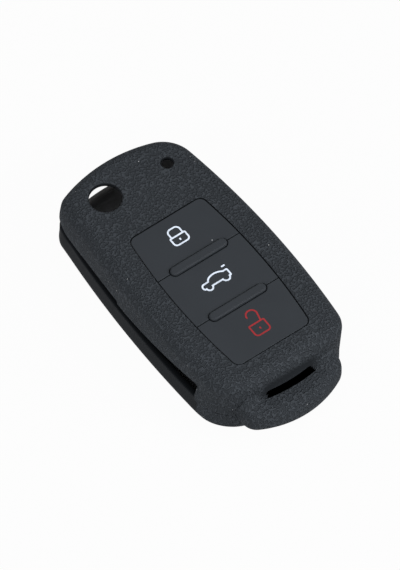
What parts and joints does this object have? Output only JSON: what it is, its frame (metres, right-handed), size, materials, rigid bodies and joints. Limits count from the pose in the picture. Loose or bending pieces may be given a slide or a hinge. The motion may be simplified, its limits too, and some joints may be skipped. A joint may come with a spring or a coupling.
{
  "type": "key fob cover",
  "caption": "Black silicone slip-on cover for a folding car key: grained shells, a blade slot, sprung press areas with printed lock, boot and unlock symbols, and a key ring tab.",
  "frame": {"origin": "middle of the cover in plan, on the surface its back lies on", "axes": "+X across the cover away from the blade slot, +Y along it towards the hinge end, +Z from the back to the buttons"},
  "size_m": [0.0404, 0.0814, 0.0202],
  "materials": {
    "grained_silicone": "fine leather grain, matte",
    "smooth_silicone": "smooth, matte",
    "white_ink": "matte print",
    "red_ink": "matte print"
  },
  "bodies": {
    "sleeve": {"front_shell": "grained_silicone", "back_shell": "grained_silicone", "key_ring_tab": "grained_silicone", "upper_rib": "smooth_silicone", "lower_rib": "smooth_silicone"},
    "lock_press": {"lock_button": "smooth_silicone", "lock_icon": "white_ink"},
    "boot_press": {"boot_button": "smooth_silicone", "boot_icon": "white_ink"},
    "unlock_press": {"unlock_button": "smooth_silicone", "unlock_icon": "red_ink"}
  },
  "joints": [
    {"name": "lock_slide", "type": "slide", "parent": "sleeve", "child": "lock_press", "axis": [0, 0, -1], "range_m": [0, 0.0004], "stiffness_N_per_m": 800},
    {"name": "boot_slide", "type": "slide", "parent": "sleeve", "child": "boot_press", "axis": [0, 0, -1], "range_m": [0, 0.0004], "stiffness_N_per_m": 800},
    {"name": "unlock_slide", "type": "slide", "parent": "sleeve", "child": "unlock_press", "axis": [0, 0, -1], "range_m": [0, 0.0004], "stiffness_N_per_m": 800}
  ]
}
